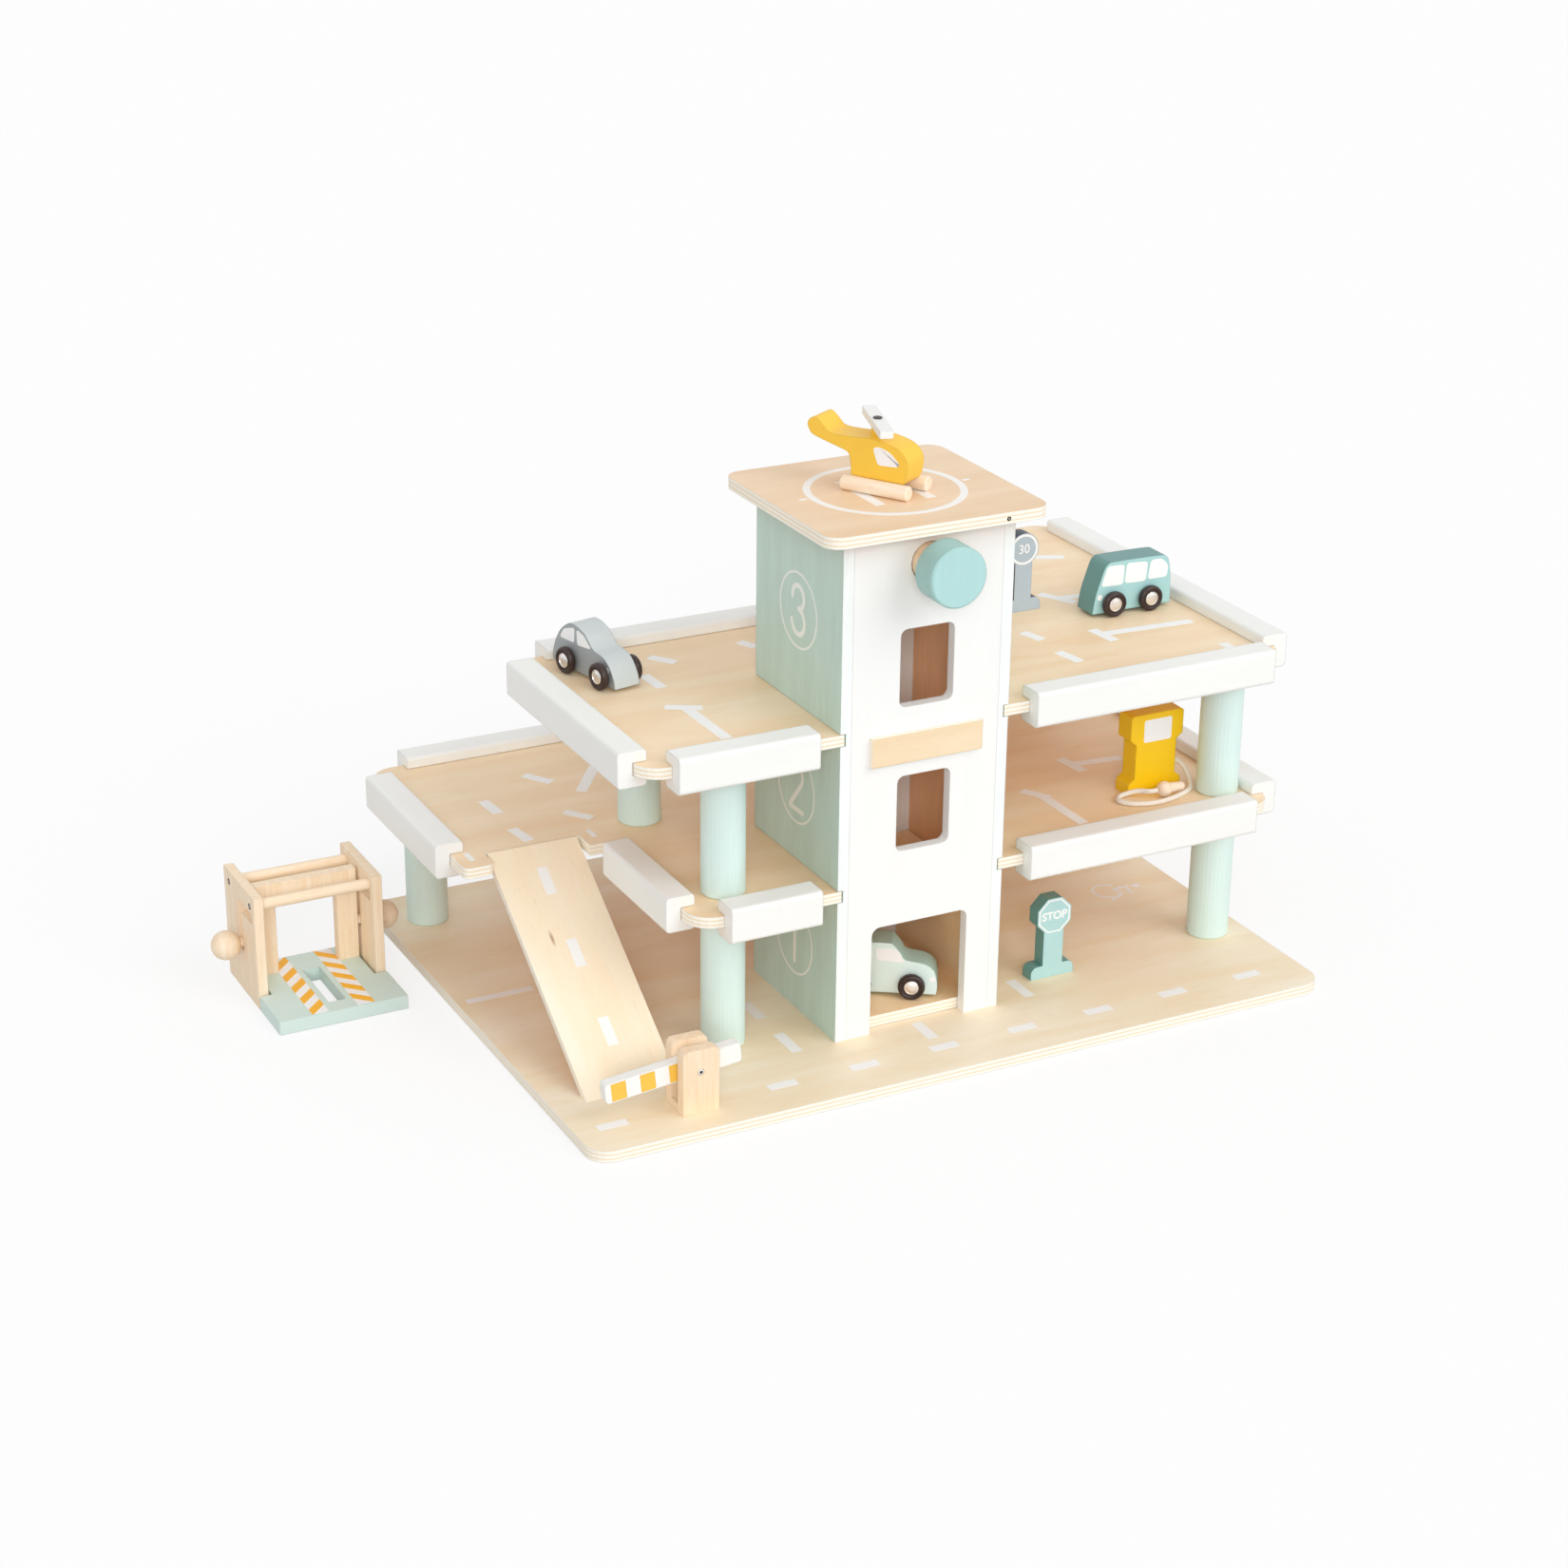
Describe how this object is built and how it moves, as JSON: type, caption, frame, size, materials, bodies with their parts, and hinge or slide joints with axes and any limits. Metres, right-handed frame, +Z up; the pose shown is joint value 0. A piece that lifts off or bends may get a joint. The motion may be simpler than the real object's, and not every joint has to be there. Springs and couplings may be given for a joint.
{
  "type": "toy parking garage with lift",
  "caption": "Wooden toy parking garage on two decks with a hand-wound lift tower, ramp, barrier, railings, toy vehicles, signs, a fuel pump and a separate car hoist.",
  "frame": {"origin": "middle of the underside of the base board, where it rests on the floor", "axes": "+X to the right along the long front edge as seen from the front, +Y from the front to the back, +Z up"},
  "size_m": [0.7095, 0.414, 0.4198],
  "materials": {
    "plywood": "clear satin lacquer on birch plywood",
    "beech": "smooth sanded solid wood",
    "white_paint": "satin white paint on wood",
    "mint_paint": "satin pale mint paint on wood",
    "sage_paint": "satin sage paint on plywood",
    "teal_paint": "satin teal paint on wood",
    "pale_paint": "satin pale teal paint on wood",
    "grey_paint": "satin grey paint on wood",
    "yellow_paint": "satin yellow paint on wood",
    "wheel_plastic": "dark brown moulded tyres on bright pressed hubs",
    "hose": "white round cord",
    "cord": "thin twisted cotton cord"
  },
  "bodies": {
    "garage": {"base_board": "plywood", "column_ground_step_front": "mint_paint", "column_ground_right_front": "mint_paint", "column_ground_right_back": "mint_paint", "column_ground_left_back": "mint_paint", "column_first_step_front": "mint_paint", "column_first_right_front": "mint_paint", "column_first_right_back": "mint_paint", "column_first_middle": "mint_paint", "lower_deck": "plywood", "upper_deck": "plywood", "tower_left_wall": "sage_paint", "tower_right_wall": "sage_paint", "tower_front_panel": "white_paint", "tower_back_panel": "white_paint", "roof_board": "plywood", "name_plate": "plywood", "lift_cord": "cord", "lower_rail_left": "white_paint", "lower_rail_back": "white_paint", "lower_rail_step": "white_paint", "lower_rail_front_left": "white_paint", "lower_rail_front_right": "white_paint", "lower_rail_right": "white_paint", "upper_rail_left": "white_paint", "upper_rail_front_left": "white_paint", "upper_rail_back_left": "white_paint", "upper_rail_front_right": "white_paint", "upper_rail_right": "white_paint", "upper_rail_back_right": "white_paint", "ramp": "plywood", "barrier_post": "beech", "stop_sign": "teal_paint", "speed_sign": "grey_paint", "fuel_pump": "yellow_paint", "pump_hose": "hose", "pump_nozzle": "beech", "hoist_left_side": "beech", "hoist_right_side": "beech", "hoist_front_dowel": "beech", "hoist_back_dowel": "beech"},
    "winder": {"crank_knob": "teal_paint", "winding_shaft": "beech"},
    "lift": {"lift_cabin": "beech"},
    "boom": {"barrier_boom": "white_paint"},
    "round_car": {"round_car_body": "grey_paint"},
    "round_car_rear_axle": {"round_car_rear_wheels": "wheel_plastic"},
    "round_car_front_axle": {"round_car_front_wheels": "wheel_plastic"},
    "bus": {"bus_body": "teal_paint"},
    "bus_rear_axle": {"bus_rear_wheels": "wheel_plastic"},
    "bus_front_axle": {"bus_front_wheels": "wheel_plastic"},
    "lift_car": {"lift_car_body": "pale_paint"},
    "lift_car_rear_axle": {"lift_car_rear_wheels": "wheel_plastic"},
    "lift_car_front_axle": {"lift_car_front_wheels": "wheel_plastic"},
    "helicopter": {"helicopter_body": "yellow_paint", "helicopter_left_skid": "beech", "helicopter_right_skid": "beech"},
    "rotor": {"helicopter_rotor": "white_paint"},
    "hoist": {"hoist_platform": "mint_paint", "hoist_gantry": "beech"}
  },
  "joints": [
    {"name": "winder_turn", "type": "hinge", "parent": "garage", "child": "winder", "pos_m": [-0.01, -0.16, 0.3404], "axis": [0, -1, 0], "range_deg": [0, 947]},
    {"name": "lift_rise", "type": "slide", "parent": "garage", "child": "lift", "axis": [0, 0, 1], "range_m": [0, 0.2146], "deforming": ["lift_cord"]},
    {"name": "boom_swing", "type": "hinge", "parent": "garage", "child": "boom", "pos_m": [-0.196, -0.1737, 0.0378], "axis": [0, 1, 0], "range_deg": [-14, 50]},
    {"name": "round_car_roll", "type": "slide", "parent": "garage", "child": "round_car", "axis": [0.1925, -0.9813, 0], "range_m": [0, 0.12]},
    {"name": "round_car_rear_spin", "type": "hinge", "parent": "round_car", "child": "round_car_rear_axle", "pos_m": [-0.17333, 0.04421, 0.2405], "axis": [0.9813, 0.1925, 0], "range_deg": [-5, 730]},
    {"name": "round_car_front_spin", "type": "hinge", "parent": "round_car", "child": "round_car_front_axle", "pos_m": [-0.16585, 0.0061, 0.2405], "axis": [0.9813, 0.1925, 0], "range_deg": [-5, 730]},
    {"name": "bus_roll", "type": "slide", "parent": "garage", "child": "bus", "axis": [-1, 0, 0], "range_m": [-0.008, 0.138]},
    {"name": "bus_rear_spin", "type": "hinge", "parent": "bus", "child": "bus_rear_axle", "pos_m": [0.23932, -0.0105, 0.2405], "axis": [0, -1, 0], "range_deg": [-55, 838]},
    {"name": "bus_front_spin", "type": "hinge", "parent": "bus", "child": "bus_front_axle", "pos_m": [0.20874, -0.0105, 0.2405], "axis": [0, -1, 0], "range_deg": [-55, 838]},
    {"name": "lift_car_roll", "type": "slide", "parent": "lift", "child": "lift_car", "axis": [0.8462, -0.5329, 0], "range_m": [-0.008, 0.008]},
    {"name": "lift_car_rear_spin", "type": "hinge", "parent": "lift_car", "child": "lift_car_rear_axle", "pos_m": [-0.02766, -0.08764, 0.0258], "axis": [0.5329, 0.8462, 0], "range_deg": [-50, 50]},
    {"name": "lift_car_front_spin", "type": "hinge", "parent": "lift_car", "child": "lift_car_front_axle", "pos_m": [0.00366, -0.10736, 0.0258], "axis": [0.5329, 0.8462, 0], "range_deg": [-50, 50]},
    {"name": "helicopter_lift_off", "type": "slide", "parent": "garage", "child": "helicopter", "axis": [0, 0, 1], "range_m": [0, 0.1]},
    {"name": "rotor_spin", "type": "hinge", "parent": "helicopter", "child": "rotor", "pos_m": [-0.0145, -0.0732, 0.4158], "axis": [0, 0, 1], "continuous": true},
    {"name": "hoist_rise", "type": "slide", "parent": "garage", "child": "hoist", "axis": [0, 0, 1], "range_m": [0, 0.028]}
  ],
  "couplings": [
    {"joint": "winder_turn", "follows": "lift_rise", "rad_per_m": 76.923},
    {"joint": "round_car_rear_spin", "follows": "round_car_roll", "rad_per_m": 105.26},
    {"joint": "round_car_front_spin", "follows": "round_car_roll", "rad_per_m": 105.26},
    {"joint": "bus_rear_spin", "follows": "bus_roll", "rad_per_m": 105.26},
    {"joint": "bus_front_spin", "follows": "bus_roll", "rad_per_m": 105.26},
    {"joint": "lift_car_rear_spin", "follows": "lift_car_roll", "rad_per_m": 105.26},
    {"joint": "lift_car_front_spin", "follows": "lift_car_roll", "rad_per_m": 105.26}
  ]
}
